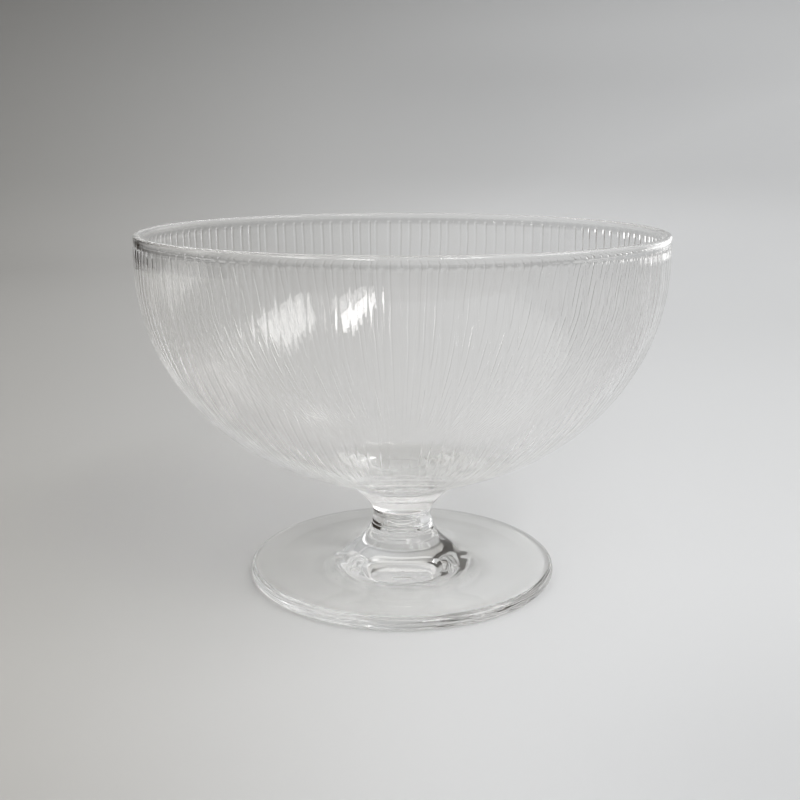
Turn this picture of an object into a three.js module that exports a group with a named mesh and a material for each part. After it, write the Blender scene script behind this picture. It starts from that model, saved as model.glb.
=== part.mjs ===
// Compote dish of clear blown glass: a finely ribbed bowl, a short waisted stem and a disc foot.
// The three pieces were joined hot, so they meet on two flat round faces.
// Millimetres, +Z up. The dish turns about the Z axis and stands on the plane z = 0.

import * as THREE from 'three';

// Foot
const FOOT_RADIUS = 38.3;
const FOOT_EDGE = 3.2; // thickness of the disc at its rounded edge
const FOOT_TOP_RISE = 0.55; // climb of the top face from the edge to the flare
const FLARE_RADIUS = 27; // where the top face turns up towards the stem
const FLARE_TOP_PULL = 15; // how far the flare keeps to the slope of the top face
const FLARE_STEM_PULL = 4.2; // how far the flare keeps to its lean at the stem
const FLARE_LEAN = THREE.MathUtils.degToRad(22); // lean of the flare at the stem, from upright
const FOOT_HEIGHT = 12; // where the stem is joined on
const REST_INNER_RADIUS = 32; // inside of the flat ring that stands on the table
const UNDERSIDE_RISE = 0.5; // hollow of the underside at the edge of the mark
const MARK_RADIUS = 15; // ground and polished mark in the middle of the underside
const MARK_DEPTH = 0.3;

// Stem
const STEM_HEIGHT = 4.7;
const STEM_FOOT_RADIUS = 8.0;
const STEM_BOWL_RADIUS = 7.6;
const STEM_PULL = 1.7; // how far the waist keeps to the lean at each end

// Bowl
const BOWL_RADIUS = 62.5;
const BELLY_RISE = 7.1; // lowest point of the bowl's round, above the stem
const BELLY_DEPTH = 54.7; // height of the round, from its lowest point to the upright wall
const WALL_HEIGHT = 7.3; // upright wall above the round, up to the rim
const RIM_WALL = 1.3; // thickness of the wall at the rim
const FLOOR_WALL = 2.6; // thickness of the glass at the bottom of the bowl
const FLOOR_RADIUS = 12; // nearly level middle of the bowl's floor
const NECK_RADIUS = 19; // where the round turns down into the neck
const NECK_BELLY_PULL = 4.7; // how far the neck keeps to the slope of the round
const NECK_STEM_PULL = 3.2; // how far the neck keeps to its lean at the stem
const NECK_LEAN = THREE.MathUtils.degToRad(25); // lean of the neck at the stem, from upright

// Ribs on the outside of the bowl
const RIB_COUNT = 135;
const RIB_HEIGHT = 0.15;
const RIB_TOP = 2.1; // smooth band between the rim and the tops of the ribs
const RIB_RUN_IN = 1.2; // length over which a rib rises from the wall
const RIB_FADE_RADIUS = 30; // where the ribs start to die away towards the neck
const RIB_END_RADIUS = 23;

// Facets
const SEGMENTS = 72; // round the smooth faces
const POINTS_PER_RIB = 2; // a crest and a hollow
const RIM_STEPS = 4;
const EDGE_STEPS = 6;
const BELLY_STEPS = 10;
const INSIDE_STEPS = 8;
const CURVE_STEPS = 5;
const UNDERSIDE_STEPS = 3;

// Heights that follow from the sizes above
const STEM_TOP = FOOT_HEIGHT + STEM_HEIGHT;
const SHOULDER = STEM_TOP + BELLY_RISE + BELLY_DEPTH; // centre of the bowl's round
const RIM = SHOULDER + WALL_HEIGHT;

const clearGlass = () =>
  new THREE.MeshStandardMaterial({
    color: 0xe9eeeb,
    roughness: 0.04,
    metalness: 0,
    transparent: true,
    opacity: 0.35,
  });

const at = (radius, height) => new THREE.Vector2(radius, height);

// A point moved from the start by a length, in a direction that leans outwards from upright
const leaning = (start, lean, length) =>
  at(start.x + length * Math.sin(lean), start.y + length * Math.cos(lean));

const cubic = (a, b, c, d, steps) => new THREE.CubicBezierCurve(a, b, c, d).getPoints(steps);

const quadratic = (a, b, c, steps) => new THREE.QuadraticBezierCurve(a, b, c).getPoints(steps);

// Lower quarter of an ellipse about the shoulder, from the upright wall down to a smaller radius
function belly(radius, depth, endRadius, steps) {
  const last = Math.acos(endRadius / radius);
  return new THREE.EllipseCurve(0, SHOULDER, radius, depth, 0, -last, true).getPoints(steps);
}

// Closed solid of a profile that starts and ends on the axis
function turned(profile) {
  const geometry = new THREE.LatheGeometry(profile, SEGMENTS);
  return geometry.rotateX(Math.PI / 2);
}

function footGeometry() {
  const edgeRadius = FOOT_EDGE / 2;
  const edgeCentre = at(FOOT_RADIUS - edgeRadius, edgeRadius);
  const flareTop = at(FLARE_RADIUS, FOOT_EDGE + FOOT_TOP_RISE);
  const topSlope = at(edgeCentre.x, FOOT_EDGE).sub(flareTop).normalize();
  const seat = at(STEM_FOOT_RADIUS, FOOT_HEIGHT);
  const markTop = UNDERSIDE_RISE + MARK_DEPTH;
  const markEdge = at(MARK_RADIUS, UNDERSIDE_RISE);
  const restEdge = at(REST_INNER_RADIUS, 0);
  const underside = at((MARK_RADIUS + REST_INNER_RADIUS) / 2, UNDERSIDE_RISE);

  const mark = quadratic(at(0, markTop), at(MARK_RADIUS / 2, markTop), markEdge, UNDERSIDE_STEPS);
  const hollow = quadratic(markEdge, underside, restEdge, UNDERSIDE_STEPS);
  const edge = new THREE.EllipseCurve(
    edgeCentre.x, edgeCentre.y, edgeRadius, edgeRadius, -Math.PI / 2, Math.PI / 2,
  ).getPoints(EDGE_STEPS);
  const flare = cubic(
    flareTop,
    flareTop.clone().addScaledVector(topSlope, -FLARE_TOP_PULL),
    leaning(seat, -FLARE_LEAN, -FLARE_STEM_PULL),
    seat,
    CURVE_STEPS,
  );
  return turned([...mark, ...hollow.slice(1), ...edge, ...flare, at(0, FOOT_HEIGHT)]);
}

function stemGeometry() {
  const foot = at(STEM_FOOT_RADIUS, FOOT_HEIGHT);
  const top = at(STEM_BOWL_RADIUS, STEM_TOP);
  const waist = cubic(
    foot, leaning(foot, -FLARE_LEAN, STEM_PULL), leaning(top, NECK_LEAN, -STEM_PULL), top, CURVE_STEPS,
  );
  return turned([at(0, FOOT_HEIGHT), ...waist, at(0, STEM_TOP)]);
}

// How much of the rib's height stands at a point of the outer wall
function ribShare(radius, height) {
  const below = RIM - RIB_TOP - height;
  const runIn = THREE.MathUtils.clamp(below / RIB_RUN_IN, 0, 1);
  const fade = (radius - RIB_END_RADIUS) / (RIB_FADE_RADIUS - RIB_END_RADIUS);
  return runIn * THREE.MathUtils.clamp(fade, 0, 1);
}

// A ring of points round the axis
function smoothRing({ x: radius, y: height }) {
  return Array.from({ length: SEGMENTS }, (_, i) => {
    const angle = (2 * Math.PI * i) / SEGMENTS;
    return new THREE.Vector3(radius * Math.cos(angle), radius * Math.sin(angle), height);
  });
}

// A ring of points on the outer wall, with every other point drawn out to a rib's crest.
// The crest stands square to the wall, whose normal is that of the ellipse of the outer face.
function ribbedRing({ x: radius, y: height }) {
  const drop = Math.min(0, height - SHOULDER);
  const normal = at(radius / BOWL_RADIUS ** 2, drop / BELLY_DEPTH ** 2).normalize();
  const crest = RIB_HEIGHT * ribShare(radius, height);
  const count = RIB_COUNT * POINTS_PER_RIB;
  return Array.from({ length: count }, (_, i) => {
    const angle = (2 * Math.PI * i) / count;
    const stand = i % POINTS_PER_RIB === 0 ? crest : 0;
    const r = radius + stand * normal.x;
    return new THREE.Vector3(r * Math.cos(angle), r * Math.sin(angle), height + stand * normal.y);
  });
}

// Triangles between two rings, which may have different numbers of points.
// Each step goes along the ring whose next point comes first round the axis.
function band(lower, upper) {
  const faces = [];
  let i = 0;
  let j = 0;
  while (i < lower.length || j < upper.length) {
    const a = lower[i % lower.length];
    const b = upper[j % upper.length];
    const alongLower = j >= upper.length || (i + 1) * upper.length <= (j + 1) * lower.length;
    if (i < lower.length && alongLower) {
      i += 1;
      faces.push(a, lower[i % lower.length], b);
    } else {
      j += 1;
      faces.push(a, upper[j % upper.length], b);
    }
  }
  return faces;
}

// Triangles from a ring to a point on the axis, facing up or down
function cap(ring, height, facesUp) {
  const centre = new THREE.Vector3(0, 0, height);
  return ring.flatMap((point, i) => {
    const next = ring[(i + 1) % ring.length];
    return facesUp ? [point, next, centre] : [next, point, centre];
  });
}

function bowlGeometry() {
  const innerRadius = BOWL_RADIUS - RIM_WALL;
  const innerDepth = BELLY_DEPTH - FLOOR_WALL;
  const lip = RIM_WALL / 2;

  const outer = belly(BOWL_RADIUS, BELLY_DEPTH, NECK_RADIUS, BELLY_STEPS).reverse();
  const neckTop = outer[0];
  const slope = at(neckTop.x / BOWL_RADIUS ** 2, (neckTop.y - SHOULDER) / BELLY_DEPTH ** 2).normalize();
  const alongBelly = at(slope.y, -slope.x); // downhill along the round
  const seat = at(STEM_BOWL_RADIUS, STEM_TOP);
  const neck = cubic(
    seat,
    leaning(seat, NECK_LEAN, NECK_STEM_PULL),
    neckTop.clone().addScaledVector(alongBelly, NECK_BELLY_PULL),
    neckTop,
    CURVE_STEPS,
  );
  const rim = new THREE.EllipseCurve(
    BOWL_RADIUS - lip, RIM - lip, lip, lip, 0, Math.PI,
  ).getPoints(RIM_STEPS);
  const inner = belly(innerRadius, innerDepth, FLOOR_RADIUS, INSIDE_STEPS);
  const ribTops = [at(BOWL_RADIUS, RIM - RIB_TOP - RIB_RUN_IN), at(BOWL_RADIUS, RIM - RIB_TOP)];

  const ribbed = [...outer.slice(1), ...ribTops].map(ribbedRing);
  const inside = [...rim, ...inner].map(smoothRing);
  const rings = [...neck.map(smoothRing), ...ribbed, ...inside];
  const faces = cap(rings[0], STEM_TOP, false);
  for (let k = 1; k < rings.length; k += 1) {
    faces.push(...band(rings[k - 1], rings[k]));
  }
  faces.push(...cap(rings.at(-1), SHOULDER - innerDepth, true));
  return new THREE.BufferGeometry().setFromPoints(faces);
}

function piece(name, geometry) {
  const mesh = new THREE.Mesh(geometry, clearGlass());
  mesh.name = name;
  return mesh;
}

const compoteDish = new THREE.Group();
compoteDish.add(
  piece('bowl', bowlGeometry()),
  piece('stem', stemGeometry()),
  piece('foot', footGeometry()),
);

export default compoteDish;
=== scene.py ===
# %% [markdown]
# # A compote dish of clear ribbed glass
# The real dish is blown and joined hot from three gathers: a thin bowl with fine upright ribs, a short
# solid stem and a heavy disc foot. Clear glass has hardly any colour of its own. What the eye reads is the
# light that it bends and mirrors, so most of this lesson goes into true surfaces and into the light around
# them. The first two cells load the frame, which holds the solids of the dish, and the modules.

# %% Load the frame
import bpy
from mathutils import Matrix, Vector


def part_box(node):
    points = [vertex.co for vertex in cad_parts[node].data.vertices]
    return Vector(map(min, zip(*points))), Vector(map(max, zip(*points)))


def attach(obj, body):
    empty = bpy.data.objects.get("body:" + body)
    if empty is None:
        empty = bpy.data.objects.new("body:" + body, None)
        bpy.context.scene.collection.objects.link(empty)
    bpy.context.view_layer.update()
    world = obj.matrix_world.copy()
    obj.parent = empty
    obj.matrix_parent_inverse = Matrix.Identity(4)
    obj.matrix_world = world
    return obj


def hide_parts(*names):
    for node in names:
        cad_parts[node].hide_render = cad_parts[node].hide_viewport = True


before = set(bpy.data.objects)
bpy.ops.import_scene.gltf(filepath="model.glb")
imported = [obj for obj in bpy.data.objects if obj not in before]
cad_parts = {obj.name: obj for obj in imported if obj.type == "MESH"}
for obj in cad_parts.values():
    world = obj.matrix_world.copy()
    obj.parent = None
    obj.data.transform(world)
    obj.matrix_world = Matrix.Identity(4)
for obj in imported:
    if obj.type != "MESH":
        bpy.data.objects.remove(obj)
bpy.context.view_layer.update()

# %% Tools of the lesson
import math
import random
import bmesh
import bpy
from mathutils import Matrix, Vector, noise
from mathutils.geometry import interpolate_bezier

MM = 0.001
FULL_TURN = 2 * math.pi
AXIS = Vector((0, 0, 1))

# %% [markdown]
# ## Sizes
# The frame already says how wide and how high each piece is, so those sizes are read from it. The bowl's
# box is measured over the crests of its ribs, so the height of a rib comes off again. What the boxes can't
# tell, such as the wall of the bowl or the waist of the stem, is named where it is first needed.

# %% Sizes from the frame
FRAME_RIB = 0.15 * MM
WALL_HEIGHT = 7.3 * MM

bowl_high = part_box("bowl")[1]
stem_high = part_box("stem")[1]
foot_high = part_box("foot")[1]
RIM = bowl_high.z
BOWL_RADIUS = bowl_high.x - FRAME_RIB
SHOULDER = RIM - WALL_HEIGHT
STEM_TOP = stem_high.z
STEM_FOOT_RADIUS = stem_high.x
FOOT_HEIGHT = foot_high.z
FOOT_RADIUS = foot_high.x
print("rim at", round(RIM, 4), "bowl radius", round(BOWL_RADIUS, 4), "foot radius", round(FOOT_RADIUS, 4))

# %% [markdown]
# ## Outlines and turning
# A glassblower turns the piece all the time, so every part of it is a body of turning. Each piece starts as
# a half outline of single points, made of straight stretches, arcs and bends. A spin through a narrow wedge
# makes a strip of skin, and a second spin lays copies of that strip all round. One full spin would do the
# same, but each of its steps walks the whole mesh again, so a fine bowl would take far longer.

# %% Helpers for outlines
MERGE = 0.001 * MM


def at(radius, height):
    return Vector((radius, 0, height))


def leaning(start, lean, length):
    return start + length * at(math.sin(lean), math.cos(lean))


def bend(start, start_pull, end_pull, end, steps):
    return interpolate_bezier(start, start_pull, end_pull, end, steps + 1)


def straight(start, end, steps):
    return [start.lerp(end, i / steps) for i in range(steps + 1)]


def arc(centre, radius, depth, first, last, steps):
    angles = [math.radians(first + (last - first) * i / steps) for i in range(steps + 1)]
    return [centre + at(radius * math.cos(a), depth * math.sin(a)) for a in angles]


def joined(*stretches):
    points = [stretches[0][0]]
    for stretch in stretches:
        points += [p for p in stretch if (p - points[-1]).length > MERGE]
    return points


# %% Helper for turning
def turned(outline, columns, wedges):
    mesh = bmesh.new()
    points = [mesh.verts.new(p) for p in outline]
    edges = [mesh.edges.new(pair) for pair in zip(points, points[1:])]
    wedge_turn = FULL_TURN / wedges
    bmesh.ops.spin(mesh, geom=points + edges, cent=(0, 0, 0), axis=AXIS, angle=wedge_turn,
                   steps=columns // wedges)
    wedge = mesh.verts[:] + mesh.edges[:] + mesh.faces[:]
    bmesh.ops.spin(mesh, geom=wedge, cent=(0, 0, 0), axis=AXIS, angle=FULL_TURN - wedge_turn,
                   steps=wedges - 1, use_duplicate=True)
    bmesh.ops.remove_doubles(mesh, verts=mesh.verts, dist=MERGE)
    bmesh.ops.recalc_face_normals(mesh, faces=mesh.faces)
    mesh.normal_update()
    return mesh


# %% [markdown]
# ## Signs of the hand
# Hot glass is never turned quite true. Rings are left where the tool pressed on it, and slow lumps where it
# cooled unevenly. Both are real geometry here, because the glass bends light at its true surface and a bump
# in the material would not show in the mesh. A ring is given by its height, its width and its depth.

# %% Helpers for tool rings and lumps
def eased(value):
    value = min(max(value, 0), 1)
    return value * value * (3 - 2 * value)


def with_rings(outline, rings):
    pressed = []
    for point in outline:
        depth = sum(d * math.exp(-((point.z - z) / w) ** 2) for z, w, d in rings)
        pressed.append(at(point.x - depth, point.z))
    return pressed


def add_lumps(mesh, size, depth, share):
    moves = []
    for vert in mesh.verts:
        amount = share(vert.co.xy.length, vert.co.z) * depth
        moves.append(vert.normal * noise.noise(vert.co / size) * amount)
    for vert, move in zip(mesh.verts, moves):
        vert.co += move
    mesh.normal_update()


# %% [markdown]
# ## From bmesh to a finished piece
# A finished piece sits at the origin with its place in its mesh. All faces are shaded smooth. The flat
# round faces where two gathers were fused are inside the glass and can't be seen on the real dish, so they
# get a second material that lets light straight through.

# %% Helper for finished pieces
def finished(name, mesh, materials, joint_heights):
    for face in mesh.faces:
        face.smooth = True
        heights = [v.co.z for v in face.verts]
        for joint in joint_heights:
            if max(abs(h - joint) for h in heights) < MERGE:
                face.material_index = 1
    data = bpy.data.meshes.new(name)
    mesh.to_mesh(data)
    triangles = len(mesh.calc_loop_triangles())
    mesh.free()
    for material in materials:
        data.materials.append(material)
    piece = bpy.data.objects.new(name + "_glass", data)
    bpy.context.scene.collection.objects.link(piece)
    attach(piece, "root")
    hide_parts(name)
    print(piece.name, "has", triangles, "triangles")


# %% [markdown]
# ## Clear glass
# The finish is a Principled shader with full transmission. Hand-blown glass is never quite even, and slow
# waves from the blowing make its reflections swim, so a fine bump bends the surface a little. The tint of
# the base colour is weak, because it only shows where light crosses the glass many times, as in the edge of
# the foot. A fused joint is no surface at all, so its material is transparent and bends nothing.

# %% Glass materials
GLASS_BENDING = 1.5
THIN_TINT = (0.996, 0.993, 0.989)
THICK_TINT = (0.993, 0.993, 0.985)


def clear_glass(name, tint, wave_size, wave_depth):
    material = bpy.data.materials.new(name)
    material.use_nodes = True
    nodes, links = material.node_tree.nodes, material.node_tree.links
    shader = nodes["Principled BSDF"]
    shader.inputs["Base Color"].default_value = (*tint, 1)
    shader.inputs["Roughness"].default_value = 0.0
    shader.inputs["IOR"].default_value = GLASS_BENDING
    shader.inputs["Transmission Weight"].default_value = 1
    place = nodes.new("ShaderNodeTexCoord")
    waves = nodes.new("ShaderNodeTexNoise")
    waves.inputs["Scale"].default_value = 1 / wave_size
    waves.inputs["Detail"].default_value = 1
    bump = nodes.new("ShaderNodeBump")
    bump.inputs["Strength"].default_value = 1
    bump.inputs["Distance"].default_value = wave_depth
    links.new(place.outputs["Object"], waves.inputs["Vector"])
    links.new(waves.outputs["Fac"], bump.inputs["Height"])
    links.new(bump.outputs["Normal"], shader.inputs["Normal"])
    return material


def fused_joint():
    material = bpy.data.materials.new("fused_joint")
    material.use_nodes = True
    nodes, links = material.node_tree.nodes, material.node_tree.links
    nodes.remove(nodes["Principled BSDF"])
    clear = nodes.new("ShaderNodeBsdfTransparent")
    links.new(clear.outputs["BSDF"], nodes["Material Output"].inputs["Surface"])
    return material


joint_glass = fused_joint()
bowl_glass = clear_glass("bowl_glass", THIN_TINT, wave_size=14 * MM, wave_depth=0.02 * MM)
stem_glass = clear_glass("stem_glass", THICK_TINT, wave_size=6 * MM, wave_depth=0.008 * MM)
foot_glass = clear_glass("foot_glass", THICK_TINT, wave_size=10 * MM, wave_depth=0.002 * MM)
print("materials:", [m.name for m in bpy.data.materials])

# %% [markdown]
# ## The bowl
# The outside is a neck that rises from the stem, a round that is a quarter of an ellipse, and a short
# upright wall. The rim was melted back in the fire, so it is a round bead a little thicker than the wall.
# The inside follows the outside, with more glass towards the bottom, and it is smooth. The band where the
# ribs begin gets close rows of points, because they rise there within less than a millimetre.

# %% Outside of the bowl
BELLY_DEPTH = 54.7 * MM
STEM_BOWL_RADIUS = 7.6 * MM
NECK_RADIUS = 19 * MM
NECK_BELLY_PULL = 4.7 * MM
NECK_STEM_PULL = 3.2 * MM
NECK_LEAN = math.radians(25)
RIB_TOP = 2.1 * MM
RIB_RUN_IN = 0.6 * MM
ROUND_STEPS = 34
NECK_STEPS = 17
WALL_STEPS = 3
RUN_IN_STEPS = 4

shoulder = at(0, SHOULDER)
neck_angle = -math.degrees(math.acos(NECK_RADIUS / BOWL_RADIUS))
outer_round = arc(shoulder, BOWL_RADIUS, BELLY_DEPTH, neck_angle, 0, ROUND_STEPS)
neck_top = outer_round[0]
slope = (outer_round[1] - neck_top).normalized()
seat = at(STEM_BOWL_RADIUS, STEM_TOP)
neck_low_pull = leaning(seat, NECK_LEAN, NECK_STEM_PULL)
neck = bend(seat, neck_low_pull, neck_top - slope * NECK_BELLY_PULL, neck_top, NECK_STEPS)
rib_full = at(BOWL_RADIUS, RIM - RIB_TOP - RIB_RUN_IN)
rib_start = at(BOWL_RADIUS, RIM - RIB_TOP)
outer_wall = straight(outer_round[-1], rib_full, WALL_STEPS) + straight(rib_full, rib_start, RUN_IN_STEPS)
bowl_outside = joined([at(0, STEM_TOP), seat], neck, outer_round, outer_wall)
print("outside of the bowl has", len(bowl_outside), "points")

# %% Rim and inside of the bowl
RIM_WALL = 1.3 * MM
FLOOR_WALL = 2.6 * MM
BEAD_WALL = 1.65 * MM
BEAD_DEPTH = 3.4 * MM
RIM_STEPS = 8
BEAD_STEPS = 5
INSIDE_STEPS = 16

inner_radius = BOWL_RADIUS - RIM_WALL
inner_depth = BELLY_DEPTH - FLOOR_WALL
bead = BEAD_WALL / 2
rim = arc(at(BOWL_RADIUS - bead, RIM - bead), bead, bead, 0, 180, RIM_STEPS)
bead_end = at(inner_radius, RIM - BEAD_DEPTH)
bead_pull = at(0, BEAD_DEPTH / 3)
bead_fall = bend(rim[-1], rim[-1] - bead_pull, bead_end + bead_pull, bead_end, BEAD_STEPS)
inner_wall = [bead_end, at(inner_radius, SHOULDER)]
inner_round = arc(shoulder, inner_radius, inner_depth, 0, -90, INSIDE_STEPS)
bowl_outline = joined(bowl_outside, rim, bead_fall, inner_wall, inner_round)
bowl_outline[-1].x = 0
print("bowl outline has", len(bowl_outline), "points")

# %% [markdown]
# ## Ribs
# About 135 ribs run down the outside. Each is a low ridge with long soft flanks and a flat strip beside it,
# and it starts at a small knob under the rim. They were made by hand, so their spacing, height and line all
# waver a little. Eight columns of the spin belong to each rib. They are drawn together on its flanks, so
# that the ridge is real geometry and few points are wasted on the flat.

# %% Rib pattern
RIB_COUNT = 135
RIB_PLACES = (0.04, 0.11, 0.17, 0.21, 0.79, 0.83, 0.89, 0.96)
RIB_STAND = (0.95, 0.4, 0, 0, 0, 0, 0.4, 0.95)
RIB_HEIGHT = 0.14 * MM
RIB_LOWEST = 0.6
RIB_UNEVEN = 0.13
RIB_SEED = 11

chance = random.Random(RIB_SEED)
rib_shift = [chance.gauss(0, RIB_UNEVEN) for _ in range(RIB_COUNT)]
rib_size = [chance.uniform(RIB_LOWEST, 1) for _ in range(RIB_COUNT)]
columns = RIB_COUNT * len(RIB_PLACES)
print("columns of the bowl:", columns)

# %% [markdown]
# A rib doesn't keep its full height all the way. It rises quickly under the rim, gets lower where the ribs
# crowd together, and melts into the neck. The lines on the front of the bowl are fainter than those at the
# back, so the ribs are lower on that side. Each rib also swings a little to the left and right on its way
# down, by a slow noise that neighbours share.

# %% Height of a rib along the bowl
RIB_FRONT = 0.3
RIB_BEHIND = 0.6
RIB_FULL_RADIUS = 45 * MM
RIB_FADE_RADIUS = 30 * MM
RIB_END_RADIUS = 23 * MM
RIB_END_SHARE = 0.5
RIB_KNOB = 0.5
KNOB_PLACE = 0.45 * MM
KNOB_LENGTH = 0.3 * MM
TURN_IN = 3 * MM


def clear_of_stem(height):
    return eased((height - STEM_TOP) / TURN_IN)


def rib_share(place):
    radius = place.xy.length
    below = RIM - RIB_TOP - place.z
    run_in = eased(below / RIB_RUN_IN)
    run_in *= 1 + RIB_KNOB * math.exp(-((below - KNOB_PLACE) / KNOB_LENGTH) ** 2)
    fade = eased((radius - RIB_END_RADIUS) / (RIB_FADE_RADIUS - RIB_END_RADIUS))
    fade = RIB_END_SHARE + (1 - RIB_END_SHARE) * fade
    crisp = max(eased(place.y / radius + RIB_BEHIND), eased((RIB_FADE_RADIUS - radius) / TURN_IN))
    crisp = RIB_FRONT + (1 - RIB_FRONT) * crisp
    return run_in * fade * crisp * min(radius / RIB_FULL_RADIUS, 1) * clear_of_stem(place.z)


# %% Line of a rib down the bowl
RIB_WANDER = 0.3 * MM
WANDER_LENGTH = 8 * MM
WANDER_WIDTH = 14 * MM


def rib_turn(place, rib, part):
    after = (rib + 1) % RIB_COUNT
    share = RIB_PLACES[part]
    shift = rib_shift[rib] * (1 - share) + rib_shift[after] * share
    turn = (share - part / len(RIB_PLACES) + shift) * FULL_TURN / RIB_COUNT
    swing = noise.noise((place.x / WANDER_WIDTH, place.y / WANDER_WIDTH, place.z / WANDER_LENGTH))
    turn += swing * RIB_WANDER / max(place.xy.length, RIB_FULL_RADIUS)
    return turn * eased((RIM - place.z) / TURN_IN) * clear_of_stem(place.z)


# %% [markdown]
# Only the outside is ribbed, and its points are known by their normals, which point away from the middle of
# the bowl. Each point finds its rib and its part of the rib from its angle. It is pushed out along its
# normal and turned about the axis. All moves are worked out before the first one is made.

# %% Draw the ribs out of the bowl
BOWL_WEDGES = 45


def draw_ribs(mesh):
    step = FULL_TURN / columns
    drawn = []
    for vert in mesh.verts:
        place = vert.co
        if place.xy.length < MERGE or vert.normal.dot(shoulder - place) > 0:
            continue
        column = round(math.atan2(place.y, place.x) / step) % columns
        rib, part = divmod(column, len(RIB_PLACES))
        nearest = rib if RIB_PLACES[part] < 0.5 else (rib + 1) % RIB_COUNT
        crest = RIB_HEIGHT * rib_share(place) * RIB_STAND[part] * rib_size[nearest]
        turn = Matrix.Rotation(rib_turn(place, rib, part), 3, AXIS)
        drawn.append((vert, turn @ (place + vert.normal * crest)))
    for vert, place in drawn:
        vert.co = place
    mesh.normal_update()
    return len(drawn)


bowl_mesh = turned(bowl_outline, columns, BOWL_WEDGES)
print("points on the ribbed outside:", draw_ribs(bowl_mesh))
finished("bowl", bowl_mesh, [bowl_glass, joint_glass], [STEM_TOP])

# %% [markdown]
# ## The stem
# The stem is one short gather with a waist. Where it was stuck to its neighbours the edges of the glass
# rolled in a little, which leaves a fine groove near each joint. The grooves are narrow tool rings.

# %% Turn the stem
STEM_PULL = 1.7 * MM
FLARE_LEAN = math.radians(22)
TOP_GROOVE = (16.4 * MM, 0.16 * MM, 0.3 * MM)
LOW_GROOVE = (13.5 * MM, 0.22 * MM, 0.2 * MM)
FOOT_GROOVE = (12.7 * MM, 0.2 * MM, 0.08 * MM)
WAIST_STEPS = 60
STEM_COLUMNS = 180
STEM_WEDGES = 20

stem_foot = at(STEM_FOOT_RADIUS, FOOT_HEIGHT)
low_pull = leaning(stem_foot, -FLARE_LEAN, STEM_PULL)
top_pull = leaning(seat, NECK_LEAN, -STEM_PULL)
waist = bend(stem_foot, low_pull, top_pull, seat, WAIST_STEPS)
waist = with_rings(waist, (TOP_GROOVE, LOW_GROOVE, FOOT_GROOVE))
stem_outline = joined([at(0, FOOT_HEIGHT), stem_foot], waist, [seat, at(0, STEM_TOP)])
stem_mesh = turned(stem_outline, STEM_COLUMNS, STEM_WEDGES)
finished("stem", stem_mesh, [stem_glass, joint_glass], [FOOT_HEIGHT, STEM_TOP])

# %% [markdown]
# ## The foot
# The foot is a heavy disc with a rolled edge. Its top climbs slowly and then flares up to the stem. The
# underside stands on a flat ring and is slightly hollow inside it, with a ground and polished mark in the
# middle where the rod was broken off. A flat, polished underside matters for the looks: seen through the
# flare it works as a mirror.

# %% Outline of the foot's top
FOOT_EDGE = 3.2 * MM
FOOT_TOP_RISE = 0.55 * MM
FLARE_RADIUS = 27 * MM
FLARE_TOP_PULL = 15 * MM
FLARE_STEM_PULL = 4.2 * MM
HIGH_RING = (11.2 * MM, 0.3 * MM, 0.06 * MM)
MIDDLE_RING = (9.6 * MM, 0.35 * MM, 0.06 * MM)
LOW_RING = (8.0 * MM, 0.4 * MM, 0.05 * MM)
EDGE_STEPS = 24
FLARE_STEPS = 60
TOP_STEPS = 16

roll = FOOT_EDGE / 2
edge = arc(at(FOOT_RADIUS - roll, roll), roll, roll, -90, 90, EDGE_STEPS)
flare_top = at(FLARE_RADIUS, FOOT_EDGE + FOOT_TOP_RISE)
top_slope = (edge[-1] - flare_top).normalized()
flare_low_pull = flare_top - top_slope * FLARE_TOP_PULL
flare_high_pull = leaning(stem_foot, -FLARE_LEAN, -FLARE_STEM_PULL)
flare = bend(flare_top, flare_low_pull, flare_high_pull, stem_foot, FLARE_STEPS)
flare = with_rings(flare, (HIGH_RING, MIDDLE_RING, LOW_RING))
top_face = straight(edge[-1], flare_top, TOP_STEPS)
print("foot is", round(2 * FOOT_RADIUS, 4), "wide and", round(FOOT_EDGE, 4), "thick at its edge")

# %% Outline of the foot's underside
REST_INNER_RADIUS = 32 * MM
UNDERSIDE_RISE = 0.5 * MM
MARK_RADIUS = 15 * MM
MARK_DEPTH = 0.3 * MM
MARK_TOP_PULL = at(6 * MM, 0)
MARK_EDGE_PULL = at(-3.75 * MM, 0.18 * MM)
HOLLOW_PULL = at(8 * MM, 0)
REST_PULL = at(-6 * MM, 0.3 * MM)
MARK_STEPS = 24
HOLLOW_STEPS = 20

mark_top = at(0, UNDERSIDE_RISE + MARK_DEPTH)
mark_edge = at(MARK_RADIUS, UNDERSIDE_RISE)
rest_edge = at(REST_INNER_RADIUS, 0)
mark = bend(mark_top, mark_top + MARK_TOP_PULL, mark_edge + MARK_EDGE_PULL, mark_edge, MARK_STEPS)
hollow = bend(mark_edge, mark_edge + HOLLOW_PULL, rest_edge + REST_PULL, rest_edge, HOLLOW_STEPS)
foot_outline = joined(mark, hollow, edge, top_face, flare, [stem_foot, at(0, FOOT_HEIGHT)])
print("foot outline has", len(foot_outline), "points")

# %% [markdown]
# The foot has two sorts of lumps. Small ones lie in a narrow ring at the edge of the mark, where the
# grinding stopped. Slow ones lie on the top and the flare, and they die away towards the rolled edge and
# towards the joint with the stem, so that these stay true.

# %% Turn the foot and leave its lumps
FOOT_COLUMNS = 240
FOOT_WEDGES = 24
MARK_LUMPS = 0.06 * MM
MARK_LUMP_SIZE = 2.5 * MM
MARK_ROUGH = 1.2 * MM
UNDERSIDE_TOP = 3 * MM
UNDERSIDE_FADE = 1 * MM
TOP_LUMPS = 0.06 * MM
TOP_LUMP_SIZE = 7 * MM
TOP_START = 2.56 * MM
TOP_FADE = 0.5 * MM
SEAT_FADE = 1 * MM
SMOOTH_EDGE = 34 * MM
EDGE_FADE = 4 * MM


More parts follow.
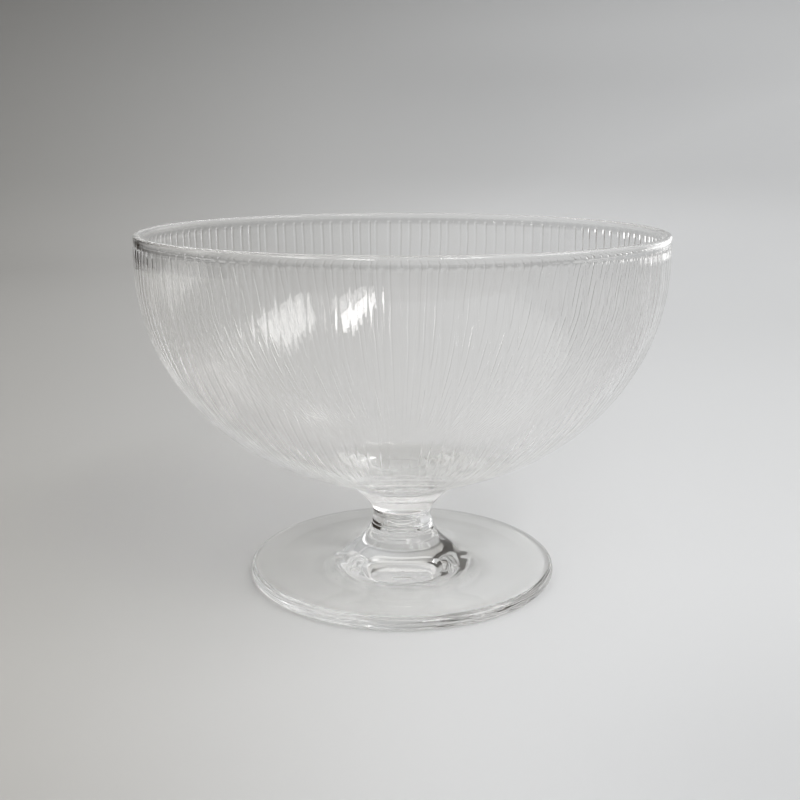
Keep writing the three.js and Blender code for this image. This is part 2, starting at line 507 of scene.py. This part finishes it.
def mark_share(radius, height):
    ring = math.exp(-((radius - MARK_RADIUS) / MARK_ROUGH) ** 2)
    return ring * eased((UNDERSIDE_TOP - height) / UNDERSIDE_FADE)


def top_share(radius, height):
    above = eased((height - TOP_START) / TOP_FADE)
    below = eased((FOOT_HEIGHT - height) / SEAT_FADE)
    return above * below * eased((SMOOTH_EDGE - radius) / EDGE_FADE)


foot_mesh = turned(foot_outline, FOOT_COLUMNS, FOOT_WEDGES)
add_lumps(foot_mesh, MARK_LUMP_SIZE, MARK_LUMPS, mark_share)
add_lumps(foot_mesh, TOP_LUMP_SIZE, TOP_LUMPS, top_share)
finished("foot", foot_mesh, [foot_glass, joint_glass], [FOOT_HEIGHT])

# %% [markdown]
# ## The table and the sweep
# The dish stands on a pale sheet that curves up behind it with no visible line. A disc with an upturned
# edge does the same for every direction, so the dish can be looked at from all sides. The sheet lies a hair
# below the foot, because glass that touches another face exactly shows a false dark ring.

# %% Floor and sweep
FLOOR_MIDDLE = 0.2
FLOOR_RADIUS = 0.75
SWEEP_RADIUS = 0.45
SWEEP_TOP = 0.75
SWEEP_STEPS = 24
SWEEP_COLUMNS = 128
SWEEP_WEDGES = 16
AIR_GAP = 0.05 * MM

floor = [at(radius, -AIR_GAP) for radius in (0, FLOOR_MIDDLE, FLOOR_RADIUS)]
sweep_centre = at(FLOOR_RADIUS, SWEEP_RADIUS - AIR_GAP)
sweep_bend = arc(sweep_centre, SWEEP_RADIUS, SWEEP_RADIUS, -90, 0, SWEEP_STEPS)
sweep_outline = joined(floor, sweep_bend, [at(FLOOR_RADIUS + SWEEP_RADIUS, SWEEP_TOP)])
sweep_mesh = turned(sweep_outline, SWEEP_COLUMNS, SWEEP_WEDGES)
if sweep_mesh.faces[0].normal.z < 0:
    bmesh.ops.reverse_faces(sweep_mesh, faces=sweep_mesh.faces)
for face in sweep_mesh.faces:
    face.smooth = True
sweep_data = bpy.data.meshes.new("sweep")
sweep_mesh.to_mesh(sweep_data)
sweep_mesh.free()
sweep = bpy.data.objects.new("sweep", sweep_data)
bpy.context.scene.collection.objects.link(sweep)
print("sweep reaches", FLOOR_RADIUS + SWEEP_RADIUS, "m from the dish")

# %% [markdown]
# ## Painted shade and light on the sheet
# The glass shows what lies behind it, so the shading of the sheet matters as much as the glass. Shade on
# the left and light on the right, as on paper that lies beside a window, are painted into the sheet's
# colour.
# The change spreads out in a fan from a place in front of the dish. All of it is worked out from Object
# coordinates with plain math nodes and mixed into the base colour.

# %% Helpers for the painted shade and light
paper = bpy.data.materials.new("pale_paper_painted_shade")
paper.use_nodes = True
paper_nodes, paper_links = paper.node_tree.nodes, paper.node_tree.links


def fed(input_socket, value):
    if isinstance(value, bpy.types.NodeSocket):
        paper_links.new(value, input_socket)
    else:
        input_socket.default_value = value


def worked_out(operation, *values):
    node = paper_nodes.new("ShaderNodeMath")
    node.operation = operation
    for socket, value in zip(node.inputs, values):
        fed(socket, value)
    return node.outputs["Value"]


def product(*values):
    result = values[0]
    for value in values[1:]:
        result = worked_out("MULTIPLY", result, value)
    return result


def ramped(value, start, end):
    node = paper_nodes.new("ShaderNodeMapRange")
    node.interpolation_type = "SMOOTHSTEP"
    fed(node.inputs["Value"], value)
    fed(node.inputs["From Min"], start)
    fed(node.inputs["From Max"], end)
    return node.outputs["Result"]


def blended(first, second, share):
    node = paper_nodes.new("ShaderNodeMix")
    node.data_type = "RGBA"
    fed(node.inputs["A"], first)
    fed(node.inputs["B"], second)
    fed(node.inputs["Factor"], share)
    return node.outputs["Result"]


# %% Painted shade on the left to painted light on the right
# The three colours are one paper painted in shade, in light, and in the brighter light beside the window.
PAINTED_SHADE_PAPER = (0.475, 0.465, 0.445, 1)
PAINTED_LIGHT_PAPER = (0.765, 0.775, 0.79, 1)
PAINTED_WINDOW_LIGHT_PAPER = (0.80, 0.81, 0.82, 1)
FAN_APEX = 0.256
FAN_NEAREST = 0.10
FAN_SHADED = -0.65
FAN_BRIGHT = 0.30
FAN_BESIDE = 0.42
FAN_WINDOW = 1.1

paper_place = paper_nodes.new("ShaderNodeTexCoord")
paper_parts = paper_nodes.new("ShaderNodeSeparateXYZ")
paper_links.new(paper_place.outputs["Object"], paper_parts.inputs["Vector"])
across, back, up = [paper_parts.outputs[axis] for axis in "XYZ"]
from_apex = worked_out("ABSOLUTE", worked_out("ADD", back, FAN_APEX))
spread = worked_out("DIVIDE", across, worked_out("MAXIMUM", from_apex, FAN_NEAREST))
fan = ramped(spread, FAN_SHADED, FAN_BRIGHT)
painted_light_and_shade = blended(PAINTED_SHADE_PAPER, PAINTED_LIGHT_PAPER, fan)
painted_light_and_shade = blended(painted_light_and_shade, PAINTED_WINDOW_LIGHT_PAPER, ramped(spread, FAN_BESIDE, FAN_WINDOW))
print("the sheet fans from", FAN_SHADED, "to", FAN_BRIGHT)

# %% [markdown]
# On top of the fan the sheet has a painted level of light, which starts at one. Soft patches of painted
# shade and light lower or raise it, and each is a product of ramps times an amount. The level falls as
# painted shade up the sweep, towards the back and in front on the right. It rises as painted light in front
# on the left and beside the dish on the right. There is a painted dim band in the bend and a painted soft
# shadow beside the foot.

# %% Painted shade up the sweep and towards the back
RISE_LEAN = 0.35
RISE_MOST = 0.45
RISE_FALL = 1.3
BEHIND_START = 0.1
BEHIND_FULL = 0.7
SHADE_TOP = 0.28
SHADE_END = 0.44
DEPTH_START = -0.15
DEPTH_FULL = 0.35
DEPTH_TOP = -0.05
DEPTH_END = 0.30
DEPTH_RIGHT = 0.75
DEPTH_FALL = 0.14


def lifted(start_level, amount, *shares):
    return worked_out("ADD", start_level, product(*shares, amount))


rise = worked_out("SUBTRACT", up, product(across, RISE_LEAN))
rise = worked_out("MINIMUM", worked_out("MAXIMUM", rise, 0), RISE_MOST)
behind = product(ramped(back, BEHIND_START, BEHIND_FULL), ramped(up, SHADE_END, SHADE_TOP))
level = lifted(1, -RISE_FALL, rise, behind)
depth = product(ramped(back, DEPTH_START, DEPTH_FULL), ramped(up, DEPTH_END, DEPTH_TOP))
level = lifted(level, -DEPTH_FALL, depth, worked_out("SUBTRACT", 1, product(fan, DEPTH_RIGHT)))

# %% Painted shade and painted light on the floor in front and on the right
FRONT_START = -0.04
FRONT_FULL = -0.10
FRONT_LEFT = -0.05
FRONT_RIGHT = 0.4
FRONT_FALL = 0.08
LEFT_START = 0.03
LEFT_FULL = -0.06
LEFT_END = -0.14
LEFT_LIFT = 0.07
RIGHT_START = -0.06
RIGHT_FULL = 0.0
RIGHT_FADE = 0.15
RIGHT_END = 0.42
RIGHT_NEAR = 0.08
RIGHT_FAR = 0.25
RIGHT_LIFT = 0.045

right_side = ramped(spread, FRONT_LEFT, FRONT_RIGHT)
left_side = worked_out("SUBTRACT", 1, right_side)
level = lifted(level, -FRONT_FALL, ramped(back, FRONT_START, FRONT_FULL), right_side)
left_front = product(ramped(back, LEFT_START, LEFT_FULL), ramped(back, LEFT_END, LEFT_FULL))
level = lifted(level, LEFT_LIFT, left_front, left_side)
beside = product(ramped(back, RIGHT_START, RIGHT_FULL), ramped(back, RIGHT_END, RIGHT_FADE))
level = lifted(level, RIGHT_LIFT, beside, ramped(spread, RIGHT_NEAR, RIGHT_FAR))

# %% A painted dim band in the bend and a painted soft shadow beside the foot
DIM_START = 0.02
DIM_LOW = 0.08
DIM_HIGH = 0.17
DIM_END = 0.25
DIM_LEFT = -0.12
DIM_RIGHT = 0.12
DIM_FADE = 0.22
DIM_GONE = 0.50
DIM_FALL = 0.08
SHADOW_ASIDE = -0.06
SHADOW_BACK = 0.03
SHADOW_EDGE = 0.10
SHADOW_FULL = 0.02
SHADOW_FALL = 0.08

dim = product(ramped(up, DIM_START, DIM_LOW), ramped(up, DIM_END, DIM_HIGH))
dim_side = product(ramped(spread, DIM_LEFT, DIM_RIGHT), ramped(spread, DIM_GONE, DIM_FADE))
level = lifted(level, -DIM_FALL, dim, dim_side)
aside = worked_out("SUBTRACT", across, SHADOW_ASIDE)
beyond = worked_out("SUBTRACT", back, SHADOW_BACK)
apart = worked_out("SQRT", worked_out("ADD", product(aside, aside), product(beyond, beyond)))
level = lifted(level, -SHADOW_FALL, ramped(apart, SHADOW_EDGE, SHADOW_FULL))

# %% Painted light towards the back and in the bend, and the finish of the paper
LIFT = 0.06
LIFT_START = 0.1
LIFT_FULL = 0.85
BEND_LIFT = 0.10
BEND_TOP = 0.08
PAPER_ROUGHNESS = 0.9
PAPER_GLOSS = 0.1

far = ramped(back, LIFT_START, LIFT_FULL)
lift = worked_out("ADD", product(ramped(up, BEND_TOP, 0), BEND_LIFT), LIFT)
level = product(level, worked_out("ADD", product(far, lift), 1))
paper_level = paper_nodes.new("ShaderNodeVectorMath")
paper_level.operation = "SCALE"
fed(paper_level.inputs[0], painted_light_and_shade)
fed(paper_level.inputs["Scale"], level)
paper_shader = paper_nodes["Principled BSDF"]
paper_shader.inputs["Roughness"].default_value = PAPER_ROUGHNESS
paper_shader.inputs["Specular IOR Level"].default_value = PAPER_GLOSS
fed(paper_shader.inputs["Base Color"], paper_level.outputs["Vector"])
sweep_data.materials.append(paper)
print("the paper has", len(paper_nodes), "nodes")

# %% [markdown]
# ## Light
# The room is evenly bright, a little less so on the left, which a world with a ramp from left to right
# gives. Two high panes stand to the right and in front, and one beside the dish. They draw the bright
# patches on the bowl and a soft shadow on the left, which the painted shade on the left of the sheet and a
# painted shadow beside the foot deepen.

# %% World
ROOM_LEFT = 0.70
ROOM_RIGHT = 0.80
ROOM_TONE = (1.0, 0.995, 0.98, 1)

world = bpy.data.worlds.new("room")
bpy.context.scene.world = world
world.use_nodes = True
world_nodes, world_links = world.node_tree.nodes, world.node_tree.links
world_nodes["Background"].inputs["Color"].default_value = ROOM_TONE
world_place = world_nodes.new("ShaderNodeTexCoord")
world_parts = world_nodes.new("ShaderNodeSeparateXYZ")
world_side = world_nodes.new("ShaderNodeMapRange")
world_side.inputs["From Min"].default_value = -1
world_side.inputs["From Max"].default_value = 1
world_side.inputs["To Min"].default_value = ROOM_LEFT
world_side.inputs["To Max"].default_value = ROOM_RIGHT
world_links.new(world_place.outputs["Generated"], world_parts.inputs["Vector"])
world_links.new(world_parts.outputs["X"], world_side.inputs["Value"])
world_links.new(world_side.outputs["Result"], world_nodes["Background"].inputs["Strength"])
print("room light from", ROOM_LEFT, "to", ROOM_RIGHT)

# %% Windows and a low bright card
SKY = (1.0, 0.995, 0.985)
TO_LEFT = (-1, 0, 0)
TO_LEFT_AND_BACK = (-0.962, 0.273, 0)
TO_LEFT_AND_FRONT = (-0.707, -0.707, 0)


def pane(name, centre, facing, width, height, radiance):
    data = bpy.data.lights.new(name, "AREA")
    data.shape = "RECTANGLE"
    data.size = width
    data.size_y = height
    data.energy = radiance * width * height * math.pi
    data.color = SKY
    lamp = bpy.data.objects.new(name, data)
    bpy.context.scene.collection.objects.link(lamp)
    lamp.location = centre
    lamp.rotation_mode = "QUATERNION"
    lamp.rotation_quaternion = Vector(facing).to_track_quat("-Z", "Y")
    lamp.visible_camera = False
    return lamp


pane("front_window", (0.55, -1.09, 1.30), TO_LEFT_AND_BACK, width=0.84, height=0.36, radiance=11.0)
pane("front_window_low", (0.55, -1.09, 0.96), TO_LEFT_AND_BACK, width=0.84, height=0.26, radiance=3.0)
pane("side_window", (0.68, -0.14, 0.70), TO_LEFT, width=0.52, height=0.36, radiance=3.6)
low_card = pane("low_card", (0.57, 0.57, 0.09), TO_LEFT_AND_FRONT, width=0.6, height=0.12, radiance=1.3)
low_card.visible_diffuse = False

# %% [markdown]
# ## Dark cards
# Glass needs contrast too. The low bright card far to the right and behind draws white lines in the foot. A
# tall dark card far to the left and a dark floor in front of the camera draw the dark ones. Light that
# comes straight through the glass passes the dark cards by, and only what the glass has mirrored at least
# once meets them. So they never show through the bowl as a dark band.

# %% Helper for dark cards
def dark_card(name, mesh, tone):
    data = bpy.data.meshes.new(name)
    mesh.to_mesh(data)
    mesh.free()
    material = bpy.data.materials.new(name)
    material.use_nodes = True
    nodes, links = material.node_tree.nodes, material.node_tree.links
    shader = nodes["Principled BSDF"]
    shader.inputs["Base Color"].default_value = tone
    shader.inputs["Roughness"].default_value = PAPER_ROUGHNESS
    light_path = nodes.new("ShaderNodeLightPath")
    mirrored = nodes.new("ShaderNodeMath")
    mirrored.operation = "GREATER_THAN"
    mirrored.inputs[1].default_value = 0.5
    clear = nodes.new("ShaderNodeBsdfTransparent")
    choice = nodes.new("ShaderNodeMixShader")
    links.new(light_path.outputs["Glossy Depth"], mirrored.inputs[0])
    links.new(mirrored.outputs["Value"], choice.inputs["Fac"])
    links.new(clear.outputs["BSDF"], choice.inputs[1])
    links.new(shader.outputs["BSDF"], choice.inputs[2])
    links.new(choice.outputs["Shader"], nodes["Material Output"].inputs["Surface"])
    data.materials.append(material)
    card = bpy.data.objects.new(name, data)
    card.visible_camera = False
    card.visible_diffuse = False
    card.visible_shadow = False
    bpy.context.scene.collection.objects.link(card)
    return card


# %% Dark floor in front
FRONT_EDGE = -0.43
FRONT_WIDTH = 2.4
FRONT_DEPTH = 1.0
FRONT_HEIGHT = 4 * MM
FRONT_TONE = (0.12, 0.085, 0.06, 1)

front_mesh = bmesh.new()
front_place = Matrix.Translation((0, FRONT_EDGE - FRONT_DEPTH / 2, FRONT_HEIGHT))
front_size = Matrix.Diagonal((FRONT_WIDTH, FRONT_DEPTH, 1, 1))
bmesh.ops.create_grid(front_mesh, x_segments=1, y_segments=1, size=0.5, matrix=front_place @ front_size)
dark_front = dark_card("dark_front", front_mesh, FRONT_TONE)
dark_front.visible_transmission = False
print("dark floor begins", -FRONT_EDGE, "m in front of the dish")

# %% Dark card on the left
SIDE_REACH = 0.70
SIDE_FOOT = 0.5 * MM
SIDE_HEIGHT = 0.50
SIDE_START = math.radians(-160)
SIDE_TURN = math.radians(-80)
SIDE_STEPS = 16
SIDE_TONE = (0.03, 0.022, 0.016, 1)

side_mesh = bmesh.new()
side_place = SIDE_REACH * Vector((math.cos(SIDE_START), math.sin(SIDE_START), 0))
side_low = side_mesh.verts.new(side_place + AXIS * SIDE_FOOT)
side_high = side_mesh.verts.new(side_place + AXIS * SIDE_HEIGHT)
side_edge = side_mesh.edges.new((side_low, side_high))
bmesh.ops.spin(side_mesh, geom=[side_low, side_high, side_edge], cent=(0, 0, 0), axis=AXIS,
               angle=SIDE_TURN, steps=SIDE_STEPS)
dark_card("dark_side", side_mesh, SIDE_TONE)
print("dark card stands", SIDE_REACH, "m to the left of the dish")

# %% [markdown]
# ## Camera
# The camera looks slightly down on the dish from the front, close enough for the far rim to look clearly
# shorter than the near one.

# %% Camera
CAMERA_DISTANCE = 0.2557
CAMERA_HEIGHT = 0.1056
CAMERA_ASIDE = -0.0005
CAMERA_PITCH = 13.55
FOCAL_LENGTH = 47.87
SENSOR_WIDTH = 36
NEAREST_VIEW = 0.01

camera_data = bpy.data.cameras.new("camera")
camera_data.sensor_width = SENSOR_WIDTH
camera_data.lens = FOCAL_LENGTH
camera_data.clip_start = NEAREST_VIEW
camera = bpy.data.objects.new("camera", camera_data)
bpy.context.scene.collection.objects.link(camera)
camera.location = (CAMERA_ASIDE, -CAMERA_DISTANCE, CAMERA_HEIGHT)
camera.rotation_euler = (math.radians(90 - CAMERA_PITCH), 0, 0)
bpy.context.scene.camera = camera
print("camera at", tuple(round(x, 4) for x in camera.location))

# %% [markdown]
# ## Render settings
# A ray in thick clear glass is mirrored inside it dozens of times. If it is cut short it turns black, so
# the glass gets many bounces. Blurring of glossy paths is off, because it would darken the edge of the
# foot.

# %% Render settings
GLASS_BOUNCES = 128

bpy.context.scene.view_settings.view_transform = "Standard"
bpy.context.scene.cycles.max_bounces = GLASS_BOUNCES
bpy.context.scene.cycles.transmission_bounces = GLASS_BOUNCES
bpy.context.scene.cycles.glossy_bounces = GLASS_BOUNCES
bpy.context.scene.cycles.blur_glossy = 0
print("bounces in the glass:", GLASS_BOUNCES)
